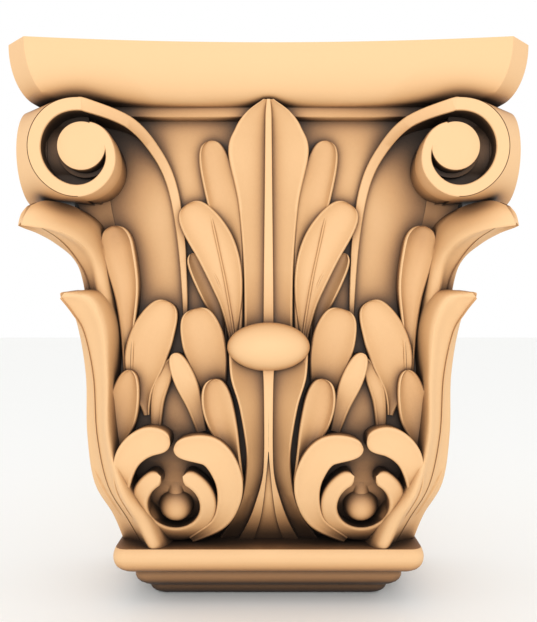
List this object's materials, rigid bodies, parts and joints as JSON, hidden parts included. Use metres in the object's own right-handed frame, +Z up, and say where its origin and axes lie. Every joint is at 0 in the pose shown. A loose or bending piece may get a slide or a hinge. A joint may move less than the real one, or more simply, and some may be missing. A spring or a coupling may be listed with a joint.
{
  "type": "corinthian pilaster capital",
  "caption": "Carved Corinthian capital for a pilaster: acanthus leaves, corner volutes and a moulded abacus, cut off flat at the back to sit against a wall",
  "frame": {"origin": "middle of the bounding box in plan, on the underside of the foot", "axes": "+Z up from the foot to the abacus, +Y towards the wall behind, +X across the front, so the carved front faces -Y"},
  "size_m": [0.2682, 0.1342, 0.305],
  "materials": {
    "limewood": "satin"
  },
  "bodies": {
    "root": {"capital": "limewood"}
  },
  "joints": []
}
